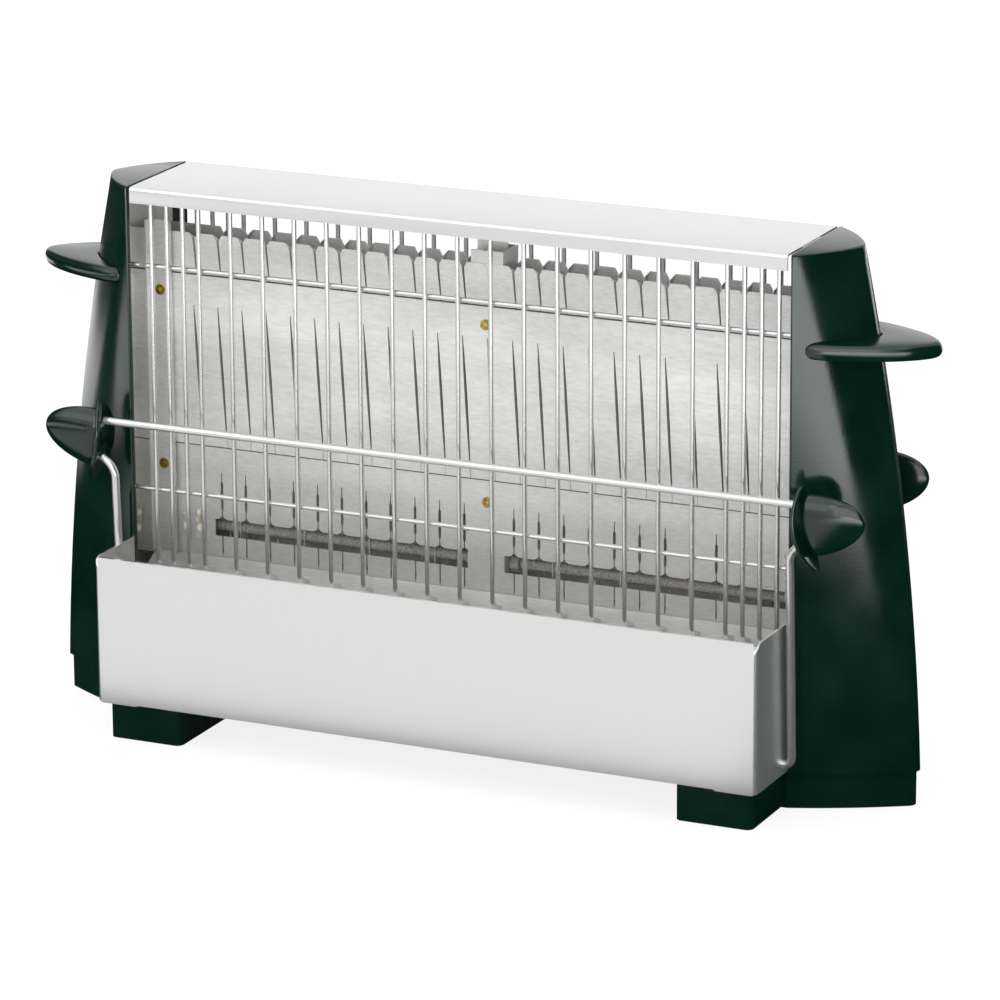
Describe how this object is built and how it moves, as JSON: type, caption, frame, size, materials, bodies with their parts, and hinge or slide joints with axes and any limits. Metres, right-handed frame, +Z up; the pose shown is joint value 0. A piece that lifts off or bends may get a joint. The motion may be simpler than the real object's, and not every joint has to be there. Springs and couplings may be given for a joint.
{
  "type": "drop side toaster",
  "caption": "Upright toaster toasting one side at a time, with open bread troughs, wire grills and swinging holding bails front and back between hollow moulded end caps.",
  "frame": {"origin": "centre of the foot print, on the table", "axes": "+X along the length to the viewer's right, +Y to the back, +Z up"},
  "size_m": [0.412, 0.1232, 0.2347],
  "materials": {
    "green_moulding": "polished very dark green phenolic moulding",
    "plated_sheet": "bright plated folded sheet",
    "plated_wire": "bright plated wire and tube",
    "galvanised_sheet": "dull mottled galvanised sheet",
    "screw_steel": "plain steel",
    "brass": "dull brass",
    "ceramic": "fired clay with a wound heating coil",
    "white_braid": "white braided sleeving on the leads"
  },
  "bodies": {
    "body": {"right_end_cap": "green_moulding", "left_end_cap": "green_moulding", "right_base": "green_moulding", "left_base": "green_moulding", "right_carry_handle": "green_moulding", "left_carry_handle": "green_moulding", "handle_screws": "screw_steel", "top_cover": "plated_sheet", "cover_rail": "galvanised_sheet", "centre_cover_bracket": "galvanised_sheet", "bottom_plate": "galvanised_sheet", "centre_post": "galvanised_sheet", "right_end_bracket": "galvanised_sheet", "left_end_bracket": "galvanised_sheet", "left_element": "ceramic", "right_element": "ceramic", "element_supports": "galvanised_sheet", "element_insulators": "ceramic", "front_grill": "plated_wire", "rear_grill": "plated_wire", "front_trough": "plated_sheet", "rear_trough": "plated_sheet", "front_chute": "galvanised_sheet", "rear_chute": "galvanised_sheet", "front_comb_sheet": "galvanised_sheet", "rear_comb_sheet": "galvanised_sheet", "front_louvre_sheet": "galvanised_sheet", "rear_louvre_sheet": "galvanised_sheet", "front_lower_sheet": "galvanised_sheet", "rear_lower_sheet": "galvanised_sheet", "front_channel": "galvanised_sheet", "rear_channel": "galvanised_sheet", "front_brass_eyelets": "brass", "rear_brass_eyelets": "brass", "front_lead_sleeves": "white_braid", "rear_lead_sleeves": "white_braid", "front_trough_screws": "screw_steel", "rear_trough_screws": "screw_steel"},
    "front_bail": {"front_holding_rod": "plated_wire", "front_right_leg": "plated_wire", "front_left_leg": "plated_wire", "front_right_knob": "green_moulding", "front_left_knob": "green_moulding", "front_pivot_clips": "screw_steel"},
    "rear_bail": {"rear_holding_rod": "plated_wire", "rear_right_leg": "plated_wire", "rear_left_leg": "plated_wire", "rear_right_knob": "green_moulding", "rear_left_knob": "green_moulding", "rear_pivot_clips": "screw_steel"}
  },
  "joints": [
    {"name": "front_bail_pivot", "type": "hinge", "parent": "body", "child": "front_bail", "pos_m": [0, -0.03125, 0.021], "axis": [1, 0, 0], "range_deg": [0, 87]},
    {"name": "rear_bail_pivot", "type": "hinge", "parent": "body", "child": "rear_bail", "pos_m": [0, 0.03125, 0.021], "axis": [-1, 0, 0], "range_deg": [0, 87]}
  ]
}
